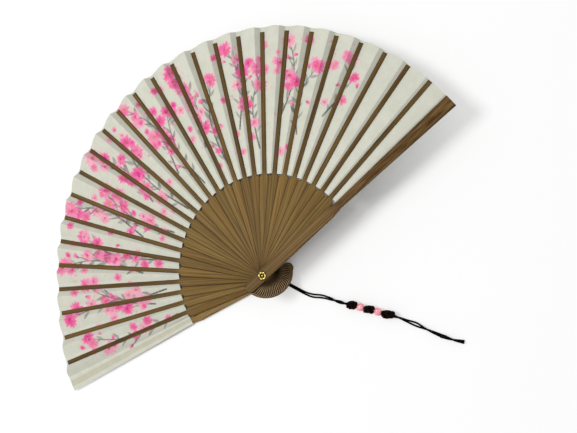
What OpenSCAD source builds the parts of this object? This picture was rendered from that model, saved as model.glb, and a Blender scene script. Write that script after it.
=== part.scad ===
// Folding hand fan, lying open with its rivet along +Z and the rear guard at the bottom.
// Two guards and a row of ribs turn on one rivet, a pleated leaf joins their outer ends,
// and a doubled cord with knots and beads is looped round the rivet. Millimetres.

/* [Sticks] */
// Distance from the pivot to the outer end of a guard
guard_reach = 192; // [160:1:230]
// Distance by which the ribs end short of the guards
rib_short = 0; // [0:0.5:6]
// Distance from the pivot to the rounded end of the tails
tail_reach = 17.5; // [12:0.5:24]
// Number of ribs between the two guards
rib_count = 26; // [8:1:26]
// Angle between neighbouring ribs when the fan is open, in degrees
stick_step = 6.17; // [4:0.01:6.6]
// Angle between the rear guard and the first rib, in degrees
rear_step = 5.2; // [4.8:0.1:6.6]
// Angle between the last rib and the front guard, in degrees
front_step = 6.5; // [4.8:0.1:6.6]
// Width of every stick from its tail to the pivot
tail_width = 8.5; // [7:0.1:11]
// Width of a rib at its shoulder, just inside the leaf
shoulder_width = 9.6; // [8.8:0.1:12]
// Width of a rib along the leaf
blade_width = 3.5; // [2:0.1:5]
// Width of a guard at its shoulder, just inside the leaf
guard_shoulder = 7.7; // [7:0.1:9]
// Distance over which a guard narrows from its shoulder to its waist
guard_neck = 8; // [4:0.5:15]
// Width of a guard at its waist, where the leaf starts
guard_waist = 5.6; // [4.5:0.1:7]
// Width of a guard at its outer end
guard_tip = 10; // [7:0.1:14]

/* [Thickness] */
// Thickness of a guard
guard_thick = 2.5; // [2:0.1:4]
// Thickness of a rib from its tail to the leaf
rib_thick = 0.85; // [0.8:0.05:1.5]
// Thickness of a rib along the leaf
blade_thick = 0.45; // [0.3:0.05:0.5]
// Running gap between neighbouring sticks
stick_gap = 0.05; // [0.03:0.01:0.2]

/* [Leaf] */
// Distance from the pivot to the inner edge of the leaf
leaf_inner = 79.5; // [70:0.5:100]
// Clearance of the leaf's inner edge in the recess behind each stick
leaf_clearance = 0.5; // [0.3:0.1:1]
// Distance by which the leaf passes the ends of the guards
leaf_over = 3; // [0:0.5:5]
// Thickness of the leaf
leaf_thick = 0.2; // [0.1:0.05:0.25]
// Width of the narrow side of each pleat at the leaf's inner edge
pleat_inner = 1.3; // [0.8:0.1:2]
// Width of the narrow side of each pleat at the leaf's outer edge
pleat_outer = 4.2; // [2:0.1:6]

/* [Rivet] */
// Radius of the rivet's shank
shank_r = 2; // [1.6:0.05:2.4]
// Running clearance of the sticks round the shank
pivot_clearance = 0.05; // [0.02:0.01:0.1]
// Radius of the rivet's two heads
head_r = 3.2; // [2.8:0.1:3.4]
// Height of the rivet's two heads
head_h = 0.6; // [0.4:0.1:1]
// Clearance of the rear head in its counterbore
head_clearance = 0.1; // [0.05:0.05:0.2]
// Inner radius of the rolled rim on the front head
rim_r = 1.9; // [1.6:0.05:2.2]
// Radius of the button in the middle of the front head
button_r = 1.1; // [0.6:0.05:1.4]
// Depth of the groove between the button and the rim
groove_depth = 0.3; // [0.1:0.05:0.35]

/* [Cord] */
// Diameter of each of the cord's two strands
cord_d = 1.5; // [0.8:0.1:1.6]
// Clearance of the cord against the sticks and the shank
cord_clearance = 0.05; // [0.03:0.01:0.2]
// Radius of the beads
bead_r = 3.2; // [2.6:0.1:3.6]
// Radius of the large knots
knot_r = 3.9; // [3:0.1:4]
// Radius of the small knot near the cord's end
end_knot_r = 2; // [1.5:0.1:2.4]

/* [Hidden] */
$fn = 64;
// Small overlap that makes every cut pass through its face
cut = 0.01;

// Numbers and names of the sticks: 0 is the rear guard, the last is the front guard
front = rib_count + 1;
function two_digits(j) = j < 10 ? str("0", j) : str(j);
function rib_name(j) = str("rib_", two_digits(j));
function gore_name(j) = str("leaf_gore_", two_digits(j));

// Heights of the stack
first_level = guard_thick + cord_d + 2 * cord_clearance;
stick_pitch = rib_thick + stick_gap;
function level(j) = first_level + (j - 1) * stick_pitch;
stack_top = level(front) + guard_thick;
rivet_top = stack_top + stick_gap + head_h;

// Directions of the open sticks, with the ribs even on both sides of +Y
function rib_azimuth(j) = 90 + (front / 2 - j) * stick_step;
function azimuth(j) =
    j == 0 ? rib_azimuth(1) + rear_step :
    j == front ? rib_azimuth(rib_count) - front_step :
    rib_azimuth(j);

// Outline sizes that follow from the driving ones
tail_r = tail_width / 2;
tail_centre = tail_r - tail_reach;
rib_reach = guard_reach - rib_short;
leaf_outer = guard_reach + leaf_over;
shoulder_reach = leaf_inner - (shoulder_width - blade_width) / 2;
leaf_recess = rib_thick - blade_thick;
hole_r = shank_r + pivot_clearance;

// Colours
rib_colour = [0.46, 0.36, 0.22];
guard_colour = [0.44, 0.32, 0.20];
leaf_colour = [0.86, 0.86, 0.80];
brass_colour = [0.80, 0.66, 0.28];
cord_colour = [0.06, 0.05, 0.05];
bead_colour = [0.93, 0.55, 0.62];

// Sticks

// Rounded tail end and the hole for the rivet, at the stick's own origin
module tail_end(thick) {
    translate([tail_centre, 0, 0]) cylinder(r = tail_r, h = thick);
}

module pivot_hole(thick) {
    translate([0, 0, -cut]) cylinder(r = hole_r, h = thick + 2 * cut);
}

// Room for the leaf behind a stick, from the leaf's inner edge outwards
module leaf_room() {
    translate([leaf_inner - leaf_clearance, -guard_tip, -cut])
        cube([guard_reach, 2 * guard_tip, leaf_recess + cut]);
}

// Half outline of a stick as points along its upper edge, closed by its mirror image
module mirrored_outline(edge) {
    last = len(edge) - 1;
    polygon(concat(edge, [for (i = [last:-1:0]) [edge[i].x, -edge[i].y]]));
}

module rib_plate() {
    tail_end(rib_thick);
    linear_extrude(rib_thick)
        mirrored_outline([
            [tail_centre, tail_r],
            [0, tail_r],
            [shoulder_reach, shoulder_width / 2],
            [leaf_inner, blade_width / 2],
            [rib_reach, blade_width / 2]
        ]);
}

module guard_plate() {
    tail_end(guard_thick);
    linear_extrude(guard_thick)
        mirrored_outline([
            [tail_centre, tail_r],
            [0, tail_r],
            [leaf_inner - guard_neck, guard_shoulder / 2],
            [leaf_inner, guard_waist / 2],
            [guard_reach, guard_tip / 2]
        ]);
}

module placed(j) {
    rotate([0, 0, azimuth(j)]) children();
}

module rib(j) {
    color(rib_colour)
        translate([0, 0, level(j)])
            placed(j)
                difference() {
                    rib_plate();
                    pivot_hole(rib_thick);
                    leaf_room();
                }
}

module front_guard() {
    color(guard_colour)
        translate([0, 0, level(front)])
            placed(front)
                difference() {
                    guard_plate();
                    pivot_hole(guard_thick);
                    leaf_room();
                }
}

module rear_guard() {
    seat_depth = head_h + head_clearance;
    color(guard_colour)
        placed(0)
            difference() {
                guard_plate();
                pivot_hole(guard_thick);
                translate([0, 0, -cut])
                    cylinder(r = head_r + head_clearance, h = seat_depth + cut);
            }
}

// Leaf

// Half widths of stick j at the leaf's inner and outer edges
function half_inner(j) = j == 0 || j == front ? guard_waist / 2 : blade_width / 2;
function half_outer(j) = j == 0 || j == front ? guard_tip / 2 : blade_width / 2;

// Angle at radius r of a point that lies a distance aside from a stick's middle line
function aside(r, distance) = asin(distance / r);

function on_level(r, a, z) = [r * cos(a), r * sin(a), z];

// Height of the pleat's ridge at radius r. It stays inside the stick's own level,
// so that the gores slide over each other when the fan closes.
function ridge_height(r) = leaf_recess + (rib_thick - leaf_recess) * r / leaf_outer;

// Upper points of a gore at radius r: both edges of its stick, the ridge, and the stick behind
// at the given angle
function gore_edge(r, half, half_behind, pleat, step) = [
    on_level(r, -aside(r, half), leaf_recess),
    on_level(r, aside(r, half), leaf_recess),
    on_level(r, aside(r, half + pleat), ridge_height(r)),
    on_level(r, step - aside(r, half_behind), leaf_thick)
];

// Straight fold lines of a gore, counted with both its side edges
fold_lines = 4;

// One gore lies behind stick j, rises in a pleat beside it and reaches the near edge of stick j - 1
module gore(j) {
    n = fold_lines;
    step = azimuth(j - 1) - azimuth(j);
    upper = concat(
        gore_edge(leaf_inner, half_inner(j), half_inner(j - 1), pleat_inner, step),
        gore_edge(leaf_outer, half_outer(j), half_outer(j - 1), pleat_outer, step)
    );
    lower = [for (p = upper) p - [0, 0, leaf_thick]];
    panels = [for (i = [0:n - 2]) each [
        [i, i + 1, n + i + 1],
        [i, n + i + 1, n + i],
        [2 * n + i, 3 * n + i, 3 * n + i + 1],
        [2 * n + i, 3 * n + i + 1, 2 * n + i + 1],
        [i, 2 * n + i, 2 * n + i + 1, i + 1],
        [n + i, n + i + 1, 3 * n + i + 1, 3 * n + i]
    ]];
    sides = [
        [0, n, 3 * n, 2 * n],
        [n - 1, 3 * n - 1, 4 * n - 1, 2 * n - 1]
    ];
    color(leaf_colour)
        translate([0, 0, level(j)])
            placed(j)
                polyhedron(points = concat(upper, lower), faces = concat(panels, sides));
}

// The leaf's last strip, glued over the rear guard
module leaf_end() {
    color(leaf_colour)
        translate([0, 0, guard_thick])
            placed(0)
                linear_extrude(leaf_thick)
                    mirrored_outline([
                        [leaf_inner, guard_waist / 2],
                        [guard_reach, guard_tip / 2],
                        [leaf_outer, guard_tip / 2]
                    ]);
}

// Rivet

// Chamfer on the rim and the button of the front head
head_chamfer = head_h / 3;

module pivot_rivet() {
    front_seat = stack_top + stick_gap;
    groove_floor = rivet_top - groove_depth;
    color(brass_colour)
        rotate_extrude()
            polygon([
                [0, 0],
                [head_r, 0],
                [head_r, head_h],
                [shank_r, head_h],
                [shank_r, front_seat],
                [head_r, front_seat],
                [head_r, rivet_top - head_chamfer],
                [head_r - head_chamfer, rivet_top],
                [rim_r + head_chamfer, rivet_top],
                [rim_r, groove_floor],
                [button_r, groove_floor],
                [button_r - head_chamfer, rivet_top - head_chamfer / 2],
                [0, rivet_top]
            ]);
}

// Cord

// Middle line of the doubled cord: x, y, z and half the distance between its strands
cord_route = [
    [1.4, -2.7, 3.3, 2.55],
    [4, -7.9, 3.25, 1.1],
    [7, -13.8, 2.2, 0.8],
    [10.2, -20.2, 1.05, 0.8],
    [13.6, -26.4, 0.85, 0.85],
    [17.4, -31.3, 0.8, 1.15],
    [22.6, -35.6, 0.8, 1.1],
    [27, -40.5, 0.95, 0.8],
    [33, -48.1, 2.3, 0.8],
    [39.6, -55.2, 4, 0.8],
    [49.2, -66, 4, 0.8],
    [59.5, -77.6, 4, 0.8],
    [64, -83.4, 2, 0.8],
    [67.4, -88.6, 0.95, 0.95],
    [71.4, -94.5, 0.8, 1.25],
    [76.6, -103, 0.95, 0.8],
    [83.2, -113.1, 2.05, 0.8],
    [88, -119.4, 0.95, 0.8],
    [93.6, -125.1, 0.8, 0.8]
];
// Points of the route that the first large knot, the last one and the small knot sit on
first_knot = 9;
last_knot = 11;
end_knot = 16;
// Direction in which the cord leaves the rivet, in degrees
cord_exit = -63;
// Sides of a strand and rings between two of its points
cord_sides = 8;
cord_rings = 2;

cord_r = cord_d / 2;
loop_r = shank_r + cord_clearance + cord_r;
loop_z = guard_thick + cord_clearance + cord_r;
route_end = len(cord_route) - 1;

function place_of(i) = [cord_route[i][0], cord_route[i][1], cord_route[i][2]];
function unit(v) = v / norm(v);

// Level direction across the route at one of its points
function across(i) =
    let (d = place_of(min(i + 1, route_end)) - place_of(max(i - 1, 0)))
    unit([-d.y, d.x, 0]);

function strand_point(i, side) = place_of(i) + side * cord_route[i][3] * across(i);

// Point of the loop round the shank, turned from the loop's back
function loop_point(turn) =
    let (a = cord_exit + 180 + turn)
    [loop_r * cos(a), loop_r * sin(a), loop_z];

// One unbroken cord: in along one strand, round the shank and out along the other
cord_points = concat(
    [for (i = [route_end:-1:0]) strand_point(i, 1)],
    [for (turn = [-90:45:90]) loop_point(turn)],
    [for (i = [0:route_end]) strand_point(i, -1)]
);

// Smooth curve through the four neighbouring points a, b, c and d, from b to c
function curve(a, b, c, d, t) =
    0.5 * (2 * b + (c - a) * t + (2 * a - 5 * b + 4 * c - d) * t * t
        + (3 * b - a - 3 * c + d) * t * t * t);

function curve_at(points, i, t) =
    let (last = len(points) - 1)
    curve(points[max(i - 1, 0)], points[i], points[min(i + 1, last)],
        points[min(i + 2, last)], t);

function smooth_line(points, rings) = concat(
    [for (i = [0:len(points) - 2]) for (k = [0:rings - 1]) curve_at(points, i, k / rings)],
    [points[len(points) - 1]]
);

function ring_at(line, i, r, sides) =
    let (
        last = len(line) - 1,
        ahead = unit(line[min(i + 1, last)] - line[max(i - 1, 0)]),
        side = unit([-ahead.y, ahead.x, 0]),
        up = cross(ahead, side)
    )
    [for (k = [0:sides - 1])
        line[i] + r * (cos(360 * k / sides) * side + sin(360 * k / sides) * up)];

// Closed tube along a line, with triangles for faces
module tube(line, r, sides) {
    count = len(line);
    points = [for (i = [0:count - 1]) each ring_at(line, i, r, sides)];
    walls = [for (i = [0:count - 2]) for (k = [0:sides - 1])
        let (
            a = i * sides + k,
            b = i * sides + (k + 1) % sides
        )
        each [[a, a + sides, b], [b, a + sides, b + sides]]];
    start = [for (k = [1:sides - 2]) [0, k, k + 1]];
    tip = (count - 1) * sides;
    end = [for (k = [1:sides - 2]) [tip, tip + k + 1, tip + k]];
    polyhedron(points = points, faces = concat(walls, start, end));
}

module cord() {
    color(cord_colour)
        tube(smooth_line(cord_points, cord_rings), cord_r, cord_sides);
}

// Knots and beads on the cord

// Lengths of the three large knots and of the small one
knot_lengths = [8.2, 8.2, 10.4];
end_knot_length = 5;
// Bore that takes both strands side by side
strand_bore = cord_d + cord_clearance;
// Share of its radius to which a knot narrows at its ends
knot_end_share = 0.55;
// Bulges along a knot, their depth as a share of its radius, and the points of its profile
knot_bulges = 3;
bulge_depth = 0.05;
knot_steps = 18;

bead_half = sqrt(bead_r * bead_r - strand_bore * strand_bore);
row_from = place_of(first_knot);
row_ahead = unit(place_of(last_knot) - row_from);
row_azimuth = atan2(row_ahead.y, row_ahead.x);

// Distances of the knots and beads along their row, measured from the first knot's middle
bead_places = [
    knot_lengths[0] / 2 + bead_half,
    knot_lengths[0] / 2 + knot_lengths[1] + 3 * bead_half
];
knot_places = [
    0,
    (knot_lengths[0] + knot_lengths[1]) / 2 + 2 * bead_half,
    (knot_lengths[0] + knot_lengths[2]) / 2 + knot_lengths[1] + 4 * bead_half
];

module along(centre, direction) {
    translate(centre) rotate([0, 0, direction]) rotate([0, 90, 0]) children();
}

// Radius of a knot of greatest radius r, at share t of its length
function knot_profile(r, t) =
    r * (knot_end_share + (1 - knot_end_share) * sin(180 * t))
        * (1 - bulge_depth * (1 - cos(360 * knot_bulges * t)) / 2);

module knot(r, length) {
    outer = [for (i = [0:knot_steps])
        let (t = i / knot_steps)
        [knot_profile(r, t), length * (t - 0.5)]];
    rotate_extrude()
        polygon(concat([[0, -length / 2]], outer, [[0, length / 2]]));
}

module cord_knots() {
    end_ahead = place_of(end_knot + 1) - place_of(end_knot - 1);
    color(cord_colour) {
        for (i = [0:len(knot_lengths) - 1])
            along(row_from + knot_places[i] * row_ahead, row_azimuth)
                knot(knot_r, knot_lengths[i]);
        along(place_of(end_knot), atan2(end_ahead.y, end_ahead.x))
            knot(end_knot_r, end_knot_length);
    }
}

module pink_beads() {
    color(bead_colour)
        for (place = bead_places)
            along(row_from + place * row_ahead, row_azimuth)
                difference() {
                    sphere(r = bead_r);
                    cylinder(r = strand_bore, h = 3 * bead_r, center = true);
                }
}

rear_guard();
front_guard();
for (j = [1:rib_count])
    rib(j);
for (j = [1:front])
    gore(j);
leaf_end();
pivot_rivet();
cord();
cord_knots();
pink_beads();
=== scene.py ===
"""An open folding hand fan: bamboo sticks, a pleated painted leaf, a brass rivet and a beaded cord."""

import math

import bmesh
import bpy
import numpy as np
from mathutils import Matrix, Vector


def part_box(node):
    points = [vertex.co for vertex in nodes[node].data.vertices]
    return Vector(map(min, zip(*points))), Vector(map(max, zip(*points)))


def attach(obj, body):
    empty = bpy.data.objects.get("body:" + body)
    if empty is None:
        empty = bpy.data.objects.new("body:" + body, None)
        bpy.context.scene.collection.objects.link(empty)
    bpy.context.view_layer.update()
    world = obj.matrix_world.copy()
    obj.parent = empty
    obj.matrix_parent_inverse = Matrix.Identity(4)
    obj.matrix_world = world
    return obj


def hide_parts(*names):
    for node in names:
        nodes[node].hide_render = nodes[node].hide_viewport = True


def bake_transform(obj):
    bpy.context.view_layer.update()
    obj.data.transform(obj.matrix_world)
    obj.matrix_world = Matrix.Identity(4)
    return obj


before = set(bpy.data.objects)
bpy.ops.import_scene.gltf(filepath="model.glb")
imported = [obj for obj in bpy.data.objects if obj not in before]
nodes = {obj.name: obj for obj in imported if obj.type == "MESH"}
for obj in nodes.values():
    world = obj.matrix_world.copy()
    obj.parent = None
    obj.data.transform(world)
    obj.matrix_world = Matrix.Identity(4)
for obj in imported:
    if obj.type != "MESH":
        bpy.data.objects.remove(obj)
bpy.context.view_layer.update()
scene = bpy.context.scene
MM = 0.001

# Sticks, counted from the rear guard (0) to the front guard (FRONT)
RIB_COUNT = 26
FRONT = RIB_COUNT + 1
STEP_DEG = 6.17
REAR_STEP_DEG = 5.2
FRONT_STEP_DEG = 6.5
STICK_REACH = 192 * MM
TAIL_HALF = 4.25 * MM
TAIL_CENTRE = 13.25 * MM
SHOULDER_HALF = 4.8 * MM
SHOULDER_REACH = 76.45 * MM
BLADE_START = 79.5 * MM
BLADE_HALF = 1.75 * MM
GUARD_SHOULDER_HALF = 3.85 * MM
GUARD_NECK = 8 * MM
GUARD_WAIST_HALF = 2.8 * MM
GUARD_TIP_HALF = 5.0 * MM
RIB_EDGE = 0.14 * MM
GUARD_EDGE = 0.45 * MM
# Within these radii an edge belongs to the pivot hole, or to the rear guard's counterbore, and stays sharp
HOLE_EDGES = 2.4 * MM
COUNTERBORE_EDGES = 3.6 * MM
# How far the tips of the two lowest ribs stand out beyond the others
RIB_SLIDE = {1: 6 * MM, 2: 2 * MM}
RIB_END = 185 * MM
# Brightness and warmth of the wood, drawn for each stick but set for the rear guard
TINT_RANGE = (0.86, 1.14)
WARM_RANGE = (-0.04, 0.04)
# The rear guard is lighter, partly its own paler wood and partly painted light against the shade of the ribs
# above it
REAR_TINT = 1.8
REAR_WARM = -0.06
# Step in the wood's pattern from stick to stick
SEED_STEP = 7.3
# Radius of the painted shadow round the rivet's head, in millimetres
RIVET_SHADOW = 3.9

# Leaf
LEAF_INNER = 79.5 * MM
LEAF_OUTER = 195 * MM
LEAF_THICK = 0.17 * MM
LEAF_RECESS = 0.4 * MM
LEAF_SCALLOP = 0.6 * MM
LEAF_BULGE = 0.6 * MM
# How far the silk runs past a stick's middle line, and the room between a stick's edge and the silk's bend
LEAF_TUCK = 0.75 * MM
LEAF_ROOM = 0.1 * MM
# Reach of the leaf's outer edge in millimetres, at some of the sticks
REACH_STICKS = [0, 1, 2, 3, 4, 6, 9, 12, 15, 18, 20, 22, 24, 26, 27]
REACH_VALUES = [203, 199.5, 195.6, 194, 192.4, 192.4, 193.6, 193.8]
REACH_VALUES += [194.8, 196, 195.6, 194.3, 193.3, 192.3, 191.6]
# Pleats: height and width of the narrow side. Near the front guard the height falls step by step
FOLD_HEIGHT = 2.2 * MM
FOLD_HEIGHT_LAST = 0.2 * MM
FOLD_STEP = 0.5 * MM
FOLD_INNER = 1.2 * MM
FOLD_OUTER = 4.2 * MM
# Distance from the rivet at which the pleats would run out
FOLD_ROOT = 55 * MM
# Painted shade along each pleat's ridge; the narrow side is darker, partly a duller tone of the silk and
# partly painted shade
CREASE_SHADE = 0.86
NARROW_SHADE = 0.84
# How much of the painting shows through on the back, and the tone of the silk there
BACK_SHOW = 0.28
BACK_TONE = 0.97
# Part of the wide side that lies flat next to the stick behind
FLAT_SHARE = 0.22
# Turn and width of each gore's fold as the fan closes, measured from the stick behind, meant to bring
# the closed leaf near the middle of the stack; the script works them out below but folds nothing with them
FOLD_TURN = math.radians(2)
FOLD_WIDTH = 22 * MM
FIRST_FOLD_WIDTH = 18 * MM
ROWS = 190
TUCK_COLUMNS = 3
DARK_COLUMNS = 10
LIGHT_COLUMNS = 26

# Cord, as a route of centre points with the half gap between its two strands, in millimetres
CORD_ROUTE = [
    (1.4, -2.7, 3.3, 2.55),
    (4, -7.9, 3.25, 1.1),
    (7, -13.8, 2.2, 0.8),
    (10.2, -20.2, 1.05, 0.8),
    (13.6, -26.4, 0.85, 0.85),
    (17.4, -31.3, 0.8, 1.15),
    (22.6, -35.6, 0.8, 1.1),
    (27, -40.5, 0.95, 0.8),
    (33, -48.1, 2.3, 0.8),
    (39.6, -55.2, 4, 0.8),
    (49.2, -66, 4, 0.8),
    (59.5, -77.6, 4, 0.8),
    (64, -83.4, 2, 0.8),
    (67.4, -88.6, 0.95, 0.95),
    (71.4, -94.5, 0.8, 1.25),
    (76.6, -103, 0.95, 0.8),
    (83.2, -113.1, 2.05, 0.8),
    (88, -119.4, 0.95, 0.8),
    (93.6, -125.1, 0.8, 0.8),
]
# Half turns that the two strands have made round each other at each route point
CORD_HALF_TURNS = [0, 0, 0, 0, 0, 0, 0, 0, 1, 2, 2, 2, 2.5, 2.7, 3, 3.5, 4, 4.5, 5]
CORD_D = 1.5 * MM
CORD_PITCH = 3.0 * MM
# Points of the curve in each span of the route, and in each span of the loop round the rivet
ROUTE_SAMPLES = 24
LOOP_SAMPLES = 12
LOOP_RADIUS = 2.8 * MM
LOOP_Z = 3.3 * MM
LOOP_AZIMUTH = 117
BEAD_RADIUS = 3.2 * MM
BEAD_BORE = 1.55 * MM
BEAD_HALF = math.sqrt(BEAD_RADIUS**2 - BEAD_BORE**2)
BEAD_PETALS = 7
BEAD_CARVE = 0.30 * MM
KNOT_RADIUS = 3.9 * MM
KNOT_LENGTHS = [8.2 * MM, 8.2 * MM, 10.4 * MM]
KNOT_STRAND = 0.85 * MM
KNOT_PITCH = 2.2 * MM
END_KNOT_LENGTH = 5 * MM
END_KNOT_RADIUS = 2 * MM
END_KNOT_STRAND = 0.5 * MM
# Route points at the first and the last knot of the row, and at the end knot
ROW_START = 9
ROW_END = 11
END_KNOT_POINT = 16

random_source = np.random.default_rng(41)


def azimuth(stick):
    degrees = 90 + (FRONT / 2 - stick) * STEP_DEG
    if stick == 0:
        degrees += REAR_STEP_DEG - STEP_DEG
    if stick == FRONT:
        degrees -= FRONT_STEP_DEG - STEP_DEG
    return math.radians(degrees)


def swing(stick):
    """Angle by which a stick turns when the fan closes."""
    return azimuth(0) - azimuth(stick)


def stick_node(stick):
    return {0: "rear_guard", FRONT: "front_guard"}.get(stick, f"rib_{stick:02d}")


def stick_body(stick):
    return {0: "base", FRONT: "front_stick"}.get(stick, f"stick_{stick:02d}")


def add_object(name, data):
    made = bpy.data.objects.new(name, data)
    scene.collection.objects.link(made)
    return made


def mesh_from(name, vertices, faces):
    mesh = bpy.data.meshes.new(name)
    mesh.from_pydata(vertices, [], faces)
    mesh.update()
    return mesh


def shade(mesh, sharp_deg):
    mesh.shade_smooth()
    mesh.set_sharp_from_angle(angle=math.radians(sharp_deg))


def face_outwards(mesh):
    work = bmesh.new()
    work.from_mesh(mesh)
    bmesh.ops.recalc_face_normals(work, faces=work.faces)
    work.to_mesh(mesh)
    work.free()


def write_attribute(mesh, name, kind, field, values):
    made = mesh.attributes.new(name, kind, "POINT")
    made.data.foreach_set(field, np.asarray(values, np.float32).ravel())


def ring_faces(rings, segments, closed):
    """Faces between neighbouring rings of points. Rings that don't close get a cap at each end."""
    faces = []
    for i in range(rings if closed else rings - 1):
        here = i * segments
        there = (i + 1) % rings * segments
        for k in range(segments):
            after = (k + 1) % segments
            faces.append((here + k, here + after, there + after, there + k))
    if not closed:
        faces.append(tuple(reversed(range(segments))))
        faces.append(tuple((rings - 1) * segments + k for k in range(segments)))
    return faces


# Materials
def material(name):
    made = bpy.data.materials.new(name)
    made.use_nodes = True
    tree = made.node_tree
    return made, tree, tree.nodes["Principled BSDF"]


def add_node(tree, kind, **settings):
    node = tree.nodes.new(kind)
    for key, value in settings.items():
        setattr(node, key, value)
    return node


def feed(socket, value):
    """Joins an input to an output, or sets it to a number, a vector or a colour."""
    if isinstance(value, bpy.types.NodeSocket):
        socket.id_data.links.new(value, socket)
    elif socket.type == "RGBA":
        socket.default_value = (*value, 1)
    else:
        socket.default_value = value


def settle(node, values):
    for key, value in values.items():
        feed(node.inputs[key], value)


def tree_of(*values):
    """The node tree of the first value that is a socket."""
    return next(value.id_data for value in values if isinstance(value, bpy.types.NodeSocket))


def attribute(tree, name):
    return add_node(tree, "ShaderNodeAttribute", attribute_name=name)


def parts(vector):
    """The X, Y and Z outputs of a vector."""
    node = add_node(tree_of(vector), "ShaderNodeSeparateXYZ")
    feed(node.inputs[0], vector)
    return node.outputs


def flat_length(x, y):
    """Length of a vector that has only an X and a Y."""
    tree = tree_of(x, y)
    flat = add_node(tree, "ShaderNodeCombineXYZ")
    settle(flat, {0: x, 1: y})
    node = add_node(tree, "ShaderNodeVectorMath", operation="LENGTH")
    feed(node.inputs[0], flat.outputs[0])
    return node.outputs["Value"]


def noise(vector, scale, stretch, detail, roughness):
    tree = tree_of(vector)
    mapping = add_node(tree, "ShaderNodeMapping")
    settle(mapping, {"Vector": vector, "Scale": stretch})
    node = add_node(tree, "ShaderNodeTexNoise")
    settle(node, {"Vector": mapping.outputs[0], "Scale": scale, "Detail": detail, "Roughness": roughness})
    return node.outputs["Fac"]


def speckle(tree, scale, detail, roughness):
    """Noise in the object's own space, the same in all directions."""
    place = add_node(tree, "ShaderNodeTexCoord").outputs["Object"]
    return noise(place, scale, (1, 1, 1), detail, roughness)


def ramp(factor, stops):
    node = add_node(tree_of(factor), "ShaderNodeValToRGB")
    elements = node.color_ramp.elements
    while len(elements) < len(stops):
        elements.new(0.5)
    for element, (position, colour) in zip(elements, stops):
        element.position = position
        element.color = (*colour, 1)
    feed(node.inputs["Fac"], factor)
    return node.outputs["Color"]


def calculate(operation, first, second):
    node = add_node(tree_of(first, second), "ShaderNodeMath", operation=operation)
    settle(node, {0: first, 1: second})
    return node.outputs["Value"]


def times(first, second):
    return calculate("MULTIPLY", first, second)


def weigh(first, share, second):
    """The first value by its share and the second by the rest."""
    return calculate("ADD", times(first, share), times(second, 1 - share))


def mix(kind, factor, first, second):
    tree = tree_of(factor, first, second)
    node = add_node(tree, "ShaderNodeMix", data_type="RGBA", blend_type=kind)
    settle(node, {0: factor, 6: first, 7: second})
    return node.outputs[2]


def stain(colour, tone, factor=1.0):
    return mix("MULTIPLY", factor, colour, tone)


def span(value, low, high, start=0.0, end=1.0):
    """The value's way from low to high, as a number from start to end."""
    node = add_node(tree_of(value), "ShaderNodeMapRange")
    settle(node, dict(enumerate((value, low, high, start, end))))
    return node.outputs[0]


def bump(shader, height, strength, distance):
    node = add_node(tree_of(height), "ShaderNodeBump")
    settle(node, {"Strength": strength, "Distance": distance, "Height": height})
    feed(shader.inputs["Normal"], node.outputs["Normal"])


# Places on a stick are in millimetres: along it from the rivet, below 0 on its tail, and across it
def edge_distance(along, across, guard):
    """Distance in millimetres from the outline of a guard or a rib."""
    start = BLADE_START / MM
    reach = STICK_REACH / MM
    tail_half = TAIL_HALF / MM
    if guard:
        shoulder = (BLADE_START - GUARD_NECK) / MM
        root = span(along, 0, shoulder, tail_half, GUARD_SHOULDER_HALF / MM)
        neck = span(along, shoulder, start, 0.0, (GUARD_WAIST_HALF - GUARD_SHOULDER_HALF) / MM)
        wing = span(along, start, reach, 0.0, (GUARD_TIP_HALF - GUARD_WAIST_HALF) / MM)
        half = calculate("ADD", calculate("ADD", root, neck), wing)
    else:
        shoulder = SHOULDER_REACH / MM
        root = span(along, 0, shoulder, tail_half, SHOULDER_HALF / MM)
        neck = span(along, shoulder, start, SHOULDER_HALF / MM, BLADE_HALF / MM)
        half = calculate("MINIMUM", root, neck)
    side = calculate("SUBTRACT", half, calculate("ABSOLUTE", across, 0.0))
    past_tail = calculate("MINIMUM", calculate("ADD", along, TAIL_CENTRE / MM), 0.0)
    tail = calculate("SUBTRACT", tail_half, flat_length(past_tail, across))
    tip = calculate("SUBTRACT", reach, along)
    return calculate("MINIMUM", calculate("MINIMUM", side, tail), tip)


def guard_colour(wood, along, across, distance):
    """A guard's wood: darker at the leaf and towards the tail, with painted shade along its edges and a
    painted shadow round the rivet.
    """
    start = BLADE_START / MM
    leafside = span(along, start - 10, start)
    wood = stain(wood, (1.24, 1.34, 1.46))
    wood = stain(wood, (0.70, 0.65, 0.60), leafside)
    wood = stain(wood, (0.76, 0.78, 0.79), span(along, 30, 0))
    # Painted shade along the guard's edges
    edge = stain(wood, mix("MIX", leafside, (0.46, 0.40, 0.32), (0.62, 0.55, 0.48)))
    wood = mix("MIX", span(distance, 0.15, 0.55, 1.0, 0.0), wood, edge)
    # Painted shadow: the wood darkens towards the rivet's head
    dirt_and_shade = span(flat_length(along, across), RIVET_SHADOW - 0.5, RIVET_SHADOW, 1.0, 0.0)
    return stain(wood, (0.30, 0.22, 0.16), dirt_and_shade)


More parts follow.
